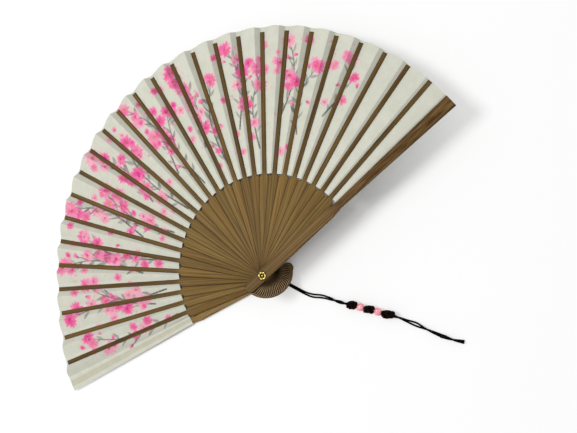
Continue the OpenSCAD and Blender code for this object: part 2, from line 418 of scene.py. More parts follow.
def rib_colour(tree, wood, along, seed, distance):
    """A rib's wood: painted shade along its edges, fainter on the lowest ribs, and a tail darkened with
    painted shade, with a pale rim and plain walls.
    """
    start = BLADE_START / MM
    tailward = span(along, 3, -6)
    plain = stain(wood, (0.62, 0.56, 0.50))
    wood = stain(wood, (0.64, 0.62, 0.60), span(along, start - 2, start + 4))
    # Painted shade: the tails' tops are darkened for the shade among the stacked tails
    wood = stain(wood, (0.22, 0.16, 0.26), tailward)
    bare = times(tailward, span(along, -5, -10))
    # Painted shade along each rib's edges, where the neighbouring sticks shade it; on the bare tail the edge
    # is the pale cut wood instead
    edge = mix("MIX", bare, stain(wood, (0.45, 0.38, 0.32)), (0.40, 0.28, 0.14))
    # The painted edge shade is fainter on the lowest ribs
    lowest = span(seed, 4.5 * SEED_STEP, 1.5 * SEED_STEP, 0.0, 0.65)
    faint = times(lowest, span(along, 5, 15))
    rim = times(span(distance, 0.28, 0.56, 1.0, 0.0), calculate("SUBTRACT", 1.0, faint))
    wood = mix("MIX", rim, wood, edge)
    # Painted shadow: a dark band across the tails near the rivet, where the sticks above shade them
    wood = stain(wood, (0.40, 0.36, 0.34), times(span(along, 1, -2), span(along, -9, -4)))
    wood = stain(wood, (0.34, 0.28, 0.22), span(along, -16.3, -17.2))
    facing = parts(add_node(tree, "ShaderNodeNewGeometry").outputs["Normal"])
    wall = times(tailward, span(facing["Z"], 0.6, 0.3))
    return mix("MIX", wall, wood, plain)


def bamboo(name, tones, guard):
    """Stained bamboo. The grain attribute holds millimetres along and across the stick, and a seed."""
    made, tree, shader = material(name)
    grain = attribute(tree, "grain").outputs["Vector"]
    axes = parts(grain)
    along = axes["X"]
    across = axes["Y"]
    streaks = noise(grain, 1.0, (0.012, 0.85, 1), 5.0, 0.6)
    fibres = noise(grain, 1.0, (0.06, 4.5, 1), 3.0, 0.65)
    blotches = noise(grain, 1.0, (0.045, 0.45, 1), 5.0, 0.7)
    leafward = span(along, 55, 95, 0.0, 0.9 if guard else 0.25)
    blotched = times(calculate("SUBTRACT", blotches, 0.5), leafward)
    value = calculate("ADD", weigh(streaks, 0.6, fibres), blotched)
    wood = ramp(value, list(zip((0.36, 0.5, 0.64), tones)))
    wood = stain(wood, attribute(tree, "tint").outputs["Color"])
    distance = edge_distance(along, across, guard)
    if guard:
        wood = guard_colour(wood, along, across, distance)
    else:
        wood = rib_colour(tree, wood, along, axes["Z"], distance)
    roughness = span(fibres, 0.3, 0.7, 0.45, 0.65)
    settle(shader, {"Base Color": wood, "Roughness": roughness, "Specular IOR Level": 0.12})
    bump(shader, value, 0.35, 0.06 * MM)
    return made


RIB_TONES = [(0.080, 0.044, 0.010), (0.168, 0.099, 0.025), (0.245, 0.152, 0.045)]
GUARD_TONES = [(0.050, 0.023, 0.006), (0.138, 0.075, 0.022), (0.215, 0.126, 0.042)]
rib_material = bamboo("rib_bamboo", RIB_TONES, False)
guard_material = bamboo("guard_bamboo", GUARD_TONES, True)


def leaf_cloth():
    """Fine silk over paper: the painting is in the paint attribute."""
    made, tree, shader = material("leaf_silk")
    fibre = speckle(tree, 900, 4.0, 0.6)
    tone = weigh(fibre, 0.45, speckle(tree, 130, 4.0, 0.6))
    shadeful = ramp(tone, [(0.36, (0.87, 0.88, 0.86)), (0.64, (1.0, 1.0, 1.0))])
    silk = stain(attribute(tree, "paint").outputs["Color"], shadeful)
    settle(shader, {"Base Color": silk, "Roughness": span(fibre, 0.3, 0.7, 0.72, 0.9)})
    settle(shader, {"Specular IOR Level": 0.25, "Sheen Weight": 0.08})
    bump(shader, fibre, 0.25, 0.08 * MM)
    return made


def brass():
    """Worn brass. The patina attribute is 1 where dirt has gathered."""
    made, tree, shader = material("rivet_brass")
    tarnish = speckle(tree, 900, 3.0, 0.6)
    metal = ramp(tarnish, [(0.36, (0.20, 0.13, 0.02)), (0.62, (0.66, 0.54, 0.16))])
    metal = mix("MIX", attribute(tree, "patina").outputs["Fac"], metal, (0.035, 0.020, 0.005))
    roughness = span(tarnish, 0.3, 0.7, 0.34, 0.16)
    settle(shader, {"Base Color": metal, "Metallic": 1.0, "Roughness": roughness})
    return made


def yarn(name, dark, light, gloss):
    made, tree, shader = material(name)
    fluff = speckle(tree, 2600, 3.0, 0.7)
    colour = ramp(fluff, [(0.35, dark), (0.75, light)])
    roughness = span(fluff, 0.3, 0.7, 0.5, 0.75)
    settle(shader, {"Base Color": colour, "Roughness": roughness, "Specular IOR Level": gloss})
    bump(shader, fluff, 0.4, 0.1 * MM)
    return made


def bead_gloss():
    made, tree, shader = material("bead_pink")
    swirl = speckle(tree, 330, 3.0, 0.55)
    pinks = [(0.35, (0.92, 0.22, 0.26)), (0.52, (0.96, 0.36, 0.41)), (0.68, (0.97, 0.62, 0.66))]
    settle(shader, {"Base Color": ramp(swirl, pinks), "Roughness": span(swirl, 0.3, 0.7, 0.18, 0.32)})
    settle(shader, {"Coat Weight": 0.35, "Coat Roughness": 0.12})
    return made


leaf_material = leaf_cloth()
brass_material = brass()
cord_material = yarn("cord_black", (0.0012, 0.0006, 0.0006), (0.005, 0.003, 0.002), 0.02)
knot_material = yarn("knot_black", (0.0006, 0.0003, 0.0002), (0.014, 0.004, 0.001), 0.035)
bead_material = bead_gloss()


# Sticks: the solid's own shape with its edges rounded over
def rounded_stick(stick):
    node = stick_node(stick)
    guard = stick in (0, FRONT)
    mesh = nodes[node].data.copy()
    work = bmesh.new()
    work.from_mesh(mesh)
    bmesh.ops.remove_doubles(work, verts=work.verts, dist=0.002 * MM)
    bmesh.ops.dissolve_limit(work, angle_limit=math.radians(1), verts=work.verts, edges=work.edges)
    sharp = [e for e in work.edges if len(e.link_faces) == 2 and e.calc_face_angle() > math.radians(40)]
    hole = HOLE_EDGES if stick else COUNTERBORE_EDGES
    outer = [e for e in sharp if min(v.co.xy.length for v in e.verts) > hole]
    width = GUARD_EDGE if guard else RIB_EDGE
    bmesh.ops.bevel(
        work, geom=outer, offset=width, segments=3, profile=0.5, affect="EDGES", clamp_overlap=True
    )
    bmesh.ops.triangulate(work, faces=[f for f in work.faces if len(f.verts) > 4])
    work.to_mesh(mesh)
    work.free()
    mesh.materials.clear()
    mesh.materials.append(guard_material if guard else rib_material)
    shade(mesh, 30)
    count = len(mesh.vertices)
    points = np.zeros(count * 3, np.float32)
    mesh.vertices.foreach_get("co", points)
    points = points.reshape(-1, 3)
    turn = azimuth(stick)
    along = points[:, 0] * math.cos(turn) + points[:, 1] * math.sin(turn)
    slid = np.where(along > RIB_END, RIB_SLIDE.get(stick, 0), 0)
    points[:, 0] += slid * math.cos(turn)
    points[:, 1] += slid * math.sin(turn)
    mesh.vertices.foreach_set("co", points.ravel())
    across = points[:, 1] * math.cos(turn) - points[:, 0] * math.sin(turn)
    seed = np.full(count, SEED_STEP * stick)
    grain = np.stack([along / MM, across / MM, seed], axis=1)
    write_attribute(mesh, "grain", "FLOAT_VECTOR", "vector", grain)
    level = random_source.uniform(*TINT_RANGE)
    warm = random_source.uniform(*WARM_RANGE)
    # Partly painted light: the rear guard is lightened against the shade of the ribs above it
    if stick == 0:
        level = REAR_TINT
        warm = REAR_WARM
    tint = np.tile([level * (1 + warm), level, level * (1 - warm), 1.0], (count, 1))
    write_attribute(mesh, "tint", "FLOAT_COLOR", "color", tint)
    piece = add_object(f"{node}_stick", mesh)
    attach(piece, stick_body(stick))
    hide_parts(node)
    return piece


sticks = [rounded_stick(stick) for stick in range(FRONT + 1)]


# Rivet: a brass eyelet with a rolled and crimped rim, a groove and a domed button
def lathe(profile, segments, ripple):
    """Turns (radius, height, ripple share) points about the Z axis into a closed mesh."""
    vertices = []
    for radius, height, share in profile:
        for k in range(segments):
            turn = 2 * math.pi * k / segments
            lift = ripple(turn) * share
            out = radius - lift
            vertices.append((out * math.cos(turn), out * math.sin(turn), height - lift * 0.5))
    return vertices, ring_faces(len(profile), segments, False)


def build_rivet():
    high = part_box("pivot_rivet")[1]
    rim = high.x
    shank = 2.0 * MM
    head = 0.6 * MM
    chamfer = 0.2 * MM
    mouth = 1.75 * MM
    crimps = 6
    segments = 72
    under = high.z - head
    well = under - 0.9 * MM
    profile = [(0.5 * MM, 0, 0), (rim - chamfer, 0, 0), (rim, chamfer, 0)]
    profile += [(rim, head, 0), (shank, head, 0), (shank, under, 0)]
    roll_middle = (rim + mouth) / 2
    roll_half = (rim - mouth) / 2
    for turn in np.linspace(0, math.pi, 13):
        lift = math.sin(turn)
        profile.append((roll_middle + roll_half * math.cos(turn), under + head * lift, lift))
    groove = len(profile) - 1
    profile += [(1.55 * MM, under - 0.1 * MM, 0), (1.5 * MM, well, 0), (0.8 * MM, well, 0)]
    button = len(profile)
    for k in range(7):
        turn = math.pi / 2 * k / 6.5
        profile.append((0.75 * MM * math.cos(turn), under + 0.35 * MM * math.sin(turn), 0))

    def crimp(turn):
        depth = 0.65 + 0.35 * math.sin(turn + 4.2)
        return depth * max(0.0, math.cos(crimps * turn + 0.9 * math.sin(turn))) ** 2

    vertices, faces = lathe(profile, segments, lambda turn: 0.26 * MM * crimp(turn))
    mesh = mesh_from("pivot_rivet_brass", vertices, faces)
    patina = []
    for i, (_, _, share) in enumerate(profile):
        for k in range(segments):
            dirt_and_shade = 0.95 * share * crimp(2 * math.pi * k / segments) ** 0.4
            patina.append(1.0 if groove <= i < button else dirt_and_shade)
    write_attribute(mesh, "patina", "FLOAT", "value", patina)
    shade(mesh, 35)
    mesh.materials.append(brass_material)
    piece = add_object("pivot_rivet_brass", mesh)
    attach(piece, "base")
    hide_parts("pivot_rivet")


build_rivet()


# Leaf: one pleated gore between each two sticks
def on_stick(stick, along, across):
    turn = azimuth(stick)
    x = along * math.cos(turn) - across * math.sin(turn)
    y = along * math.sin(turn) + across * math.cos(turn)
    return np.stack([x, y], axis=-1)


def stick_half(stick, along):
    if stick in (0, FRONT):
        share = (along - LEAF_INNER) / (STICK_REACH - LEAF_INNER)
        return GUARD_WAIST_HALF + (GUARD_TIP_HALF - GUARD_WAIST_HALF) * share
    return np.full_like(along, BLADE_HALF)


def leaf_level(stick):
    if stick == 0:
        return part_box("leaf_end")[1].z + LEAF_THICK
    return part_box(f"leaf_gore_{stick:02d}")[0].z + LEAF_RECESS - 0.01 * MM


# Columns of a gore, from its stick to the one behind:
# a tuck, the pleat's narrow side, its wide side and a tuck
column_shares = np.concatenate(
    [
        np.linspace(0, 1, TUCK_COLUMNS)[:-1],
        1 + np.linspace(0, 1, DARK_COLUMNS)[:-1],
        2 + np.linspace(0, 1, LIGHT_COLUMNS)[:-1],
        3 + np.linspace(0, 1, TUCK_COLUMNS),
    ]
)
column_part = np.clip(column_shares.astype(int), 0, 3)
column_within = column_shares - column_part
RIDGE_COLUMN = TUCK_COLUMNS - 1 + DARK_COLUMNS - 1


def gore_reach(stick, fold):
    """Reach of each column: the leaf's edge, drawn out at the pleat's ridge and in at the stick behind."""
    width = LEAF_OUTER * math.radians(STEP_DEG)
    aside = np.interp(column_shares, range(5), [0, BLADE_HALF, BLADE_HALF + fold, width - BLADE_HALF, width])
    base = np.interp(stick - aside / width, REACH_STICKS, REACH_VALUES) * MM
    strength = LEAF_SCALLOP * np.interp(stick, [4, 6, 14, 17], [0, 1, 1, 0])
    bulge = LEAF_BULGE * np.where(column_part == 2, np.sin(np.pi * column_within), 0)
    bulge *= np.interp(stick, [FRONT - 2, FRONT], [1, 0])
    return base + bulge + strength * np.interp(column_shares, range(5), [-0.6, -0.6, 1, -0.6, -0.6])


def gore_points(stick):
    """The upper face of one gore, as rows outwards and columns from its stick to the one behind."""
    narrow = FOLD_OUTER * np.interp(stick, [FRONT - 4, FRONT], [1, 0.35])
    reach = gore_reach(stick, narrow)[None, :]
    along = LEAF_INNER + np.linspace(0, 1, ROWS)[:, None] * (reach - LEAF_INNER)
    share = (along - LEAF_INNER) / (LEAF_OUTER - LEAF_INNER)
    half = stick_half(stick, along)
    behind = stick_half(stick - 1, along)
    fold = half + FOLD_INNER + (narrow - FOLD_INNER) * share
    near = leaf_level(stick)
    far = leaf_level(stick - 1)
    peak = min(FOLD_HEIGHT, FOLD_HEIGHT_LAST + FOLD_STEP * (FRONT - stick))
    height = near + peak * (along - FOLD_ROOT) / (LEAF_OUTER - FOLD_ROOT)
    tuck_far = -LEAF_TUCK if stick > 1 else -behind + LEAF_TUCK
    flat = [
        on_stick(stick, along, np.full_like(along, -LEAF_TUCK)),
        on_stick(stick, along, half + LEAF_ROOM),
        on_stick(stick, along, fold),
        on_stick(stick - 1, along, -behind - LEAF_ROOM),
        on_stick(stick - 1, along, tuck_far + 0 * along),
    ]
    levels = [near + 0 * along, near + 0 * along, height, far + 0 * along, far + 0 * along]
    grid = np.zeros((ROWS, len(column_shares), 3))
    for k in range(4):
        chosen = column_part == k
        f = column_within[chosen][None, :, None]
        grid[:, chosen, :2] = flat[k][:, chosen] * (1 - f) + flat[k + 1][:, chosen] * f
        g = column_within[chosen][None, :]
        if k == 2:
            g = np.minimum(g / (1 - FLAT_SHARE), 1)
        grid[:, chosen, 2] = levels[k][:, chosen] * (1 - g) + levels[k + 1][:, chosen] * g
    bow = np.where(column_part == 2, np.sin(np.pi * column_within), 0)[None, :]
    phase = random_source.uniform(0, 2 * np.pi, 3)
    slow = np.sin(share * 5 + phase[0]) * 0.22
    quick = np.sin(share * 11 + phase[1] + 2 * column_within[None, :]) * 0.12
    grid[:, :, 2] += bow * (0.25 + (slow + quick)) * MM * (0.4 + 0.6 * share)
    return grid


def sheet_mesh(name, top, front_colours, back_colours):
    """A thin closed sheet below a grid of points."""
    rows, columns = top.shape[:2]
    count = rows * columns
    bottom = top - np.array([0, 0, LEAF_THICK])
    vertices = np.concatenate([top.reshape(-1, 3), bottom.reshape(-1, 3)])
    index = np.arange(count).reshape(rows, columns)
    upper = np.stack([index[:-1, :-1], index[1:, :-1], index[1:, 1:], index[:-1, 1:]], axis=-1).reshape(-1, 4)
    edge = np.concatenate([index[0, :-1], index[:-1, -1], index[-1, :0:-1], index[:0:-1, 0]])
    after = np.roll(edge, -1)
    rim = np.stack([edge, after, after + count, edge + count], axis=-1)
    faces = np.concatenate([upper, upper[:, ::-1] + count, rim[:, ::-1]])
    mesh = mesh_from(name, vertices.tolist(), faces.tolist())
    mesh.validate()
    face_outwards(mesh)
    colours = np.ones((2 * count, 4), np.float32)
    colours[:count, :3] = front_colours
    colours[count:, :3] = back_colours
    write_attribute(mesh, "paint", "FLOAT_COLOR", "color", colours)
    mesh.materials.append(leaf_material)
    shade(mesh, 20)
    return mesh


# The painting: sprays of many-petalled daisies with slender ink leaves,
# laid on in millimetres on the open leaf
SILK = np.array([0.655, 0.657, 0.560])
HOT_PINK = np.array([0.86, 0.030, 0.30])
PALE_PINK = np.array([0.90, 0.42, 0.53])
DEEP_PINK = np.array([0.55, 0.010, 0.16])
INK = np.array([0.030, 0.030, 0.034])
GREY = np.array([0.26, 0.27, 0.26])
POLLEN = np.array([0.62, 0.36, 0.05])


def pink(hue):
    """From pale (0) to hot (1)."""
    return HOT_PINK * hue + PALE_PINK * (1 - hue)


def pointing(heading):
    return np.array([math.cos(heading), math.sin(heading)])


def polar(radius, degrees):
    return radius * pointing(math.radians(degrees))


class Painting:
    def __init__(self, points):
        self.points = points
        self.colours = np.tile(SILK, (len(points), 1))

    def near(self, middle, reach):
        offset = self.points - middle
        return np.nonzero((np.abs(offset[:, 0]) < reach) & (np.abs(offset[:, 1]) < reach))[0]

    def part(self, middle, reach):
        """The points round a place as a small painting of their own, and their numbers."""
        chosen = self.near(middle, reach)
        small = Painting(self.points[chosen])
        small.colours = self.colours[chosen]
        return small, chosen

    def lay(self, chosen, cover, colour):
        cover = np.clip(cover, 0, 1)[:, None]
        self.colours[chosen] = self.colours[chosen] * (1 - cover) + colour * cover

    def wash(self, middle, radius, colour, strength):
        chosen = self.near(middle, radius)
        away = np.linalg.norm(self.points[chosen] - middle, axis=1) / radius
        self.lay(chosen, strength * np.clip(1 - away, 0, 1) ** 1.5, colour)

    def beside(self, base, heading, length):
        """The points round a mark that starts at base: their numbers, and places along and across it."""
        chosen = self.near(base, length * 1.1)
        offset = self.points[chosen] - base
        along = offset @ pointing(heading) / length
        across = offset @ pointing(heading + math.pi / 2)
        return chosen, along, across

    def petal(self, base, heading, length, width, colour, tip, strength):
        """A rounded petal that starts at base. Its colour runs towards tip at the far end."""
        chosen, along, across = self.beside(base, heading, length)
        inside = (along > 0) & (along < 1)
        along = np.clip(along, 0, 1)
        half = width / 2 * np.sqrt(np.clip(np.sin(np.pi * along**0.75), 0, 1))
        cover = strength * np.clip((half - np.abs(across)) / 0.5 + 0.4, 0, 1) * inside
        share = along[:, None]
        self.lay(chosen, cover, colour * (1 - share) + tip * share)

    def stroke(self, line, start_width, end_width, colour, strength):
        for k in range(len(line) - 1):
            first, second = line[k], line[k + 1]
            step = second - first
            reach = np.linalg.norm(step) / 2 + start_width + 1
            chosen = self.near((first + second) / 2, reach)
            offset = self.points[chosen] - first
            share = np.clip(offset @ step / max(step @ step, 1e-9), 0, 1)
            away = np.linalg.norm(offset - share[:, None] * step, axis=1)
            place = (k + share) / (len(line) - 1)
            half = (start_width + (end_width - start_width) * place) / 2
            self.lay(chosen, strength * np.clip((half - away) / 0.5 + 0.5, 0, 1), colour)

    def blade(self, base, heading, length, width, bend, colour, strength):
        """A slender pointed leaf."""
        chosen, along, across = self.beside(base, heading, length)
        across = across - bend * length * along**2
        half = width / 2 * np.sin(np.pi * np.clip(along, 0, 1) ** 0.7)
        cover = np.clip((half - np.abs(across)) / 0.45 + 0.4, 0, 1) * ((along > 0) & (along < 1))
        tone = np.clip(0.55 + 0.45 * along, 0, 1)
        self.lay(chosen, strength * cover * tone, colour)


def paint_flower(whole, draw, middle, radius):
    """A many-petalled daisy, hot pink, pale or between."""
    picture, chosen = whole.part(middle, radius * 1.8)
    petals = int(draw.integers(10, 14))
    spin = draw.uniform(0, 2 * math.pi)
    squash = draw.uniform(0.72, 1.0)
    lean = draw.uniform(0, 2 * math.pi)
    brightness = draw.choice([0.95, 0.6, 0.2])
    picture.wash(middle, radius * 1.7, PALE_PINK, 0.45)
    for k in range(petals):
        heading = spin + 2 * math.pi * k / petals + draw.normal(0, 0.07)
        length = radius * draw.uniform(0.82, 1.1) * (1 - (1 - squash) * abs(math.cos(heading - lean)))
        hue = np.clip(brightness + draw.normal(0, 0.2), 0, 1)
        colour = pink(hue)
        start = middle + 0.12 * radius * pointing(heading)
        picture.petal(start, heading, length, radius * 0.46, colour, PALE_PINK * 0.35 + colour * 0.65, 0.9)
    for _ in range(9):
        spot = middle + draw.normal(0, radius * 0.10, 2)
        picture.wash(spot, radius * 0.2, POLLEN if draw.random() < 0.35 else DEEP_PINK, 0.9)
    whole.colours[chosen] = picture.colours


def paint_bud(picture, draw, middle, heading, size):
    for turn in (-0.32, 0.32, 0):
        hue = draw.uniform(0.5, 1)
        colour = pink(hue)
        picture.petal(middle, heading + turn, size, size * 0.5, colour, PALE_PINK * 0.5 + colour * 0.5, 0.9)
    picture.wash(middle, size * 0.35, INK, 0.8)


def paint_spray(picture, draw, base, top, bend, flowers, scale):
    """One stem from base to top, both as (radius, degrees), with leaves, side shoots, flowers and buds."""
    shares = np.linspace(0, 1, 26)
    radii = base[0] + (top[0] - base[0]) * shares
    degrees = base[1] + (top[1] - base[1]) * shares + bend * np.sin(np.pi * shares)
    stem = np.array([polar(*place) for place in zip(radii, degrees)])
    picture.stroke(stem, 1.5 * scale, 0.7 * scale, INK * 0.7 + GREY * 0.3, 0.85)
    for k in range(3, 23, 2):
        step = stem[k + 1] - stem[k - 1]
        heading = math.atan2(step[1], step[0])
        side = 1 if (k // 2) % 2 else -1
        tone = draw.uniform(0, 0.8)
        picture.blade(
            stem[k],
            heading + side * draw.uniform(0.45, 1.05),
            draw.uniform(6, 11) * scale,
            draw.uniform(2.0, 3.4) * scale,
            side * draw.uniform(-0.25, 0.05),
            INK * (1 - tone) + GREY * tone,
            draw.uniform(0.6, 0.95),
        )
    for place in np.linspace(6, 22, flowers).round().astype(int):
        step = stem[place + 1] - stem[place - 1]
        side = draw.choice([-1, 1])
        heading = math.atan2(step[1], step[0]) + side * draw.uniform(0.5, 1.0)
        length = draw.uniform(6, 13) * scale
        bends = np.linspace(0, 1, 8)
        shoot = np.array([stem[place] + length * t * pointing(heading - side * 0.3 * t) for t in bends])
        picture.stroke(shoot, 0.9 * scale, 0.5 * scale, INK * 0.6 + GREY * 0.4, 0.8)
        if draw.random() < 0.78:
            paint_flower(picture, draw, shoot[-1], draw.uniform(4.4, 6.6) * scale)
        else:
            paint_bud(picture, draw, shoot[-1], heading, 4.5 * scale)
    paint_flower(picture, draw, stem[-1], draw.uniform(5.6, 7.2) * scale)
    for _ in range(2):
        middle = stem[draw.integers(12, 24)] + draw.normal(0, 5, 2)
        paint_bud(picture, draw, middle, draw.uniform(0, 2 * math.pi), draw.uniform(3, 4.4) * scale)


def paint_leaf(points):
    draw = np.random.default_rng(2207)
    picture = Painting(points)
    sprays = [
        ((88, 166), (172, 163), 3, 4, 1.0),
        ((104, 158), (184, 157), -3, 6, 1.05),
        ((92, 152), (166, 148), 4, 5, 1.0),
        ((112, 144), (188, 143), -3, 7, 1.05),
        ((94, 137), (170, 134), 3, 6, 1.0),
        ((116, 129), (187, 128), -4, 7, 1.05),
        ((90, 122), (162, 119), 3, 5, 1.0),
        ((118, 114), (186, 113), -3, 6, 1.05),
        ((88, 107), (168, 104), 3, 5, 1.0),
        ((114, 98), (188, 98), -4, 6, 1.0),
        ((92, 91), (160, 88), 3, 4, 0.95),
        ((116, 82), (186, 82), -3, 6, 1.0),
        ((90, 75), (164, 72), 3, 4, 0.95),
        ((118, 66), (184, 66), -3, 5, 1.0),
        ((100, 58), (162, 56), 3, 4, 0.9),
        ((122, 50), (184, 49), -3, 4, 0.95),
        ((112, 42), (166, 40), 3, 3, 0.85),
        ((130, 34), (178, 32), -2, 3, 0.85),
    ]
    for base, top, bend, flowers, scale in sprays:
        paint_spray(picture, draw, base, top, bend, flowers, scale)
    for _ in range(95):
        spot = polar(draw.uniform(96, 186), 168 - 134 * draw.random() ** 1.25)
        paint_flower(picture, draw, spot, draw.uniform(2.6, 4.6))
    for _ in range(90):
        spot = polar(draw.uniform(92, 190), draw.uniform(30, 168))
        hue = draw.uniform(0.1, 0.9)
        picture.petal(
            spot,
            draw.uniform(0, 2 * math.pi),
            draw.uniform(2.0, 3.6),
            draw.uniform(1.2, 2.0),
            pink(hue),
            PALE_PINK,
            draw.uniform(0.35, 0.8),
        )
    return picture.colours


gores = {stick: gore_points(stick) for stick in range(1, FRONT + 1)}
flat_points = np.concatenate([gores[stick][:, :, :2].reshape(-1, 2) for stick in gores]) / MM
leaf_paint = paint_leaf(flat_points)


def smoothstep_inverse(value):
    """The place where the smooth blend curve has this value."""
    return 0.5 - math.sin(math.asin(1 - 2 * value) / 3)


offset = 0
for stick, grid in gores.items():
    size = grid.shape[0] * grid.shape[1]
    front_paint = leaf_paint[offset : offset + size]
    # Painted shade on each pleat's narrow side, partly also a duller tone of the silk, and painted shade
    # along its ridge
    front_paint.reshape(*grid.shape)[:, column_part == 1] *= NARROW_SHADE
    front_paint.reshape(*grid.shape)[:, RIDGE_COLUMN] *= CREASE_SHADE
    offset += size
    back_paint = SILK * BACK_TONE * (1 - BACK_SHOW) + front_paint * BACK_SHOW
    gore_name = f"leaf_gore_{stick:02d}"
    piece = add_object(f"{gore_name}_silk", sheet_mesh(f"{gore_name}_silk", grid, front_paint, back_paint))
    turn = azimuth(stick - 1) - FOLD_TURN
    start_share = smoothstep_inverse(swing(stick - 1) / swing(stick))
    fold_width = FIRST_FOLD_WIDTH if stick == 1 else FOLD_WIDTH
    length = fold_width / (1 - start_share)
    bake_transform(piece)
    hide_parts(gore_name)


def build_leaf_end():
    """The last strip of the leaf, glued over the rear guard, with a woven border."""
    rows, columns = 120, 41
    border = 0.4 * MM
    shares = np.linspace(-1, 1, columns)[None, :]
    reach = np.interp(0.13 * shares, REACH_STICKS, REACH_VALUES) * MM
    along = LEAF_INNER + np.linspace(0, 1, rows)[:, None] * (reach - LEAF_INNER)
    half = stick_half(0, along) + border
    flat = on_stick(0, along, shares * -half)
    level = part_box("leaf_end")[1].z
    top = np.concatenate([flat, np.full((rows, columns, 1), level)], axis=-1)
    places = [-1, -0.35, -0.3, 0.45, 0.5, 0.55, 1]
    tones = [0.97, 0.97, 0.86, 0.84, 0.66, 0.95, 0.95]
    tone = np.interp(shares[0], places, tones)
    warm = np.array([1.0, 0.96, 0.88])
    tint = np.where(np.abs(shares[0] - 0.1)[:, None] < 0.45, warm, 1.0)
    colours = np.tile(SILK * tone[:, None] * tint, (rows, 1))
    piece = add_object("leaf_end_silk", sheet_mesh("leaf_end_silk", top, colours, colours))
    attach(piece, "base")
    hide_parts("leaf_end")


build_leaf_end()


# Cord: two strands from a loop round the rivet to two bare ends
def spline(points, per_span):
    """Points of a Catmull-Rom curve through the given ones."""
    points = np.asarray(points, float)
    padded = np.concatenate([[2 * points[0] - points[1]], points, [2 * points[-1] - points[-2]]])
    t = np.linspace(0, 1, per_span, endpoint=False)[:, None]
    spans = []
    for k in range(len(points) - 1):
        a, b, c, d = padded[k : k + 4]
        spans.append(
            0.5 * (2 * b + (c - a) * t + (2 * a - 5 * b + 4 * c - d) * t**2 + (3 * b - a - 3 * c + d) * t**3)
        )
    return np.concatenate([*spans, points[-1:]])


def even(line, step):
    along = np.concatenate([[0], np.cumsum(np.linalg.norm(np.diff(line, axis=0), axis=1))])
    places = np.linspace(0, along[-1], max(2, round(along[-1] / step) + 1))
    return np.stack([np.interp(places, along, line[:, k]) for k in range(line.shape[1])], axis=1)


def unit(vectors):
    return vectors / np.linalg.norm(vectors, axis=-1, keepdims=True)


def frames(line, closed=False):
    """Two side directions at each point of a line, turned as little as possible along it."""
    if closed:
        tangents = np.roll(line, -1, axis=0) - np.roll(line, 1, axis=0)
    else:
        tangents = np.gradient(line, axis=0)
    tangents = unit(tangents)
    side = np.cross(tangents[0], [0, 0, 1.0])
    sides = []
    for tangent in tangents:
        side = unit(side - tangent * (side @ tangent))
        sides.append(side)
    sides = np.array(sides)
    return sides, np.cross(tangents, sides)


def tube(line, radii, segments, lobes=0, depth=0.0, pitch=1.0, closed=False):
    """Vertices and faces of a tube. Lobes with a depth make it a twisted cord of that pitch."""
    sides, ups = frames(line, closed)
    steps = np.linalg.norm(np.diff(line, axis=0), axis=1)
    along = np.concatenate([[0], np.cumsum(steps)])
    angles = 2 * np.pi * np.arange(segments) / segments
    swell = 1 - depth * (0.5 - 0.5 * np.cos(lobes * (angles[None, :] - 2 * np.pi * along[:, None] / pitch)))
    reach = radii[:, None] * swell
    points = (
        line[:, None, :]
        + reach[:, :, None] * np.cos(angles)[None, :, None] * sides[:, None, :]
        + reach[:, :, None] * np.sin(angles)[None, :, None] * ups[:, None, :]
    )
    return points.reshape(-1, 3), ring_faces(len(line), segments, closed)


def gathered(name, shells, finish, sharp_deg):
    """One piece made of several closed shells, each given as vertices and faces."""
    vertices = []
    faces = []
    for shell_vertices, shell_faces in shells:
        start = len(vertices)
        vertices += [tuple(v) for v in shell_vertices]
        faces += [tuple(start + k for k in face) for face in shell_faces]
    mesh = mesh_from(name, vertices, faces)
    face_outwards(mesh)
    mesh.materials.append(finish)
    shade(mesh, sharp_deg)
    return add_object(name, mesh)


route = np.array(CORD_ROUTE) * MM
route_line = spline(np.column_stack([route, np.array(CORD_HALF_TURNS) * np.pi]), ROUTE_SAMPLES)


def strand_line(sign):
    """One strand's middle line, from behind the rivet to its free end."""
    centre = route_line[:, :3].copy()
    gap = np.maximum(route_line[:, 3] - 0.1 * MM, 0.46 * CORD_D)
    turns = route_line[:, 4]
    direction = unit(np.gradient(centre[:, :2], axis=0))
    across = np.stack([-direction[:, 1], direction[:, 0]], axis=1)
    line = centre.copy()
    line[:, :2] += sign * (gap * np.cos(turns))[:, None] * across
    lift = np.clip(gap, 0, 0.8 * MM)
    line[:, 2] += lift * (np.abs(np.sin(turns)) + sign * np.sin(turns))
    loop = []
    for degrees in (0, 30, 60, 90):
        turn = math.radians(LOOP_AZIMUTH - sign * degrees)
        loop.append((LOOP_RADIUS * math.cos(turn), LOOP_RADIUS * math.sin(turn), LOOP_Z))
    start = spline(np.array([*loop, line[0], line[6]]), LOOP_SAMPLES)[: len(loop) * LOOP_SAMPLES]
    whole = np.concatenate([start, line])
    whole[:, 2] = np.maximum(whole[:, 2], CORD_D / 2 + 0.02 * MM)
    return even(whole, 0.4 * MM)


def build_cord():
    pieces = {}
    for name, sign in (("cord_strand_left", 1), ("cord_strand_right", -1)):
        line = strand_line(sign)
        radii = np.full(len(line), CORD_D / 2)
        radii[-6:] *= np.array([1.0, 1.05, 1.18, 1.22, 1.15, 0.8])
        strand = tube(line, radii, 14, lobes=3, depth=0.06, pitch=CORD_PITCH)
        pieces[name] = (gathered(name, [strand], cord_material, 60), line)
    return pieces


cords = build_cord()

row_start = route[ROW_START, :3]
row_end = route[ROW_END, :3]
row_way = unit(row_end - row_start)

# Knots and beads lie end to end along the row
knot_places = []
bead_places = []
row_place = -KNOT_LENGTHS[0] / 2
for k, length in enumerate(KNOT_LENGTHS):
    if k > 0:
        bead_places.append(row_place + BEAD_HALF)
        row_place += 2 * BEAD_HALF
    knot_places.append(row_place + length / 2)
    row_place += length


def axes_along(way):
    way = unit(way)
    side = unit(np.cross([0, 0, 1.0], way))
    return way, side, np.cross(way, side)


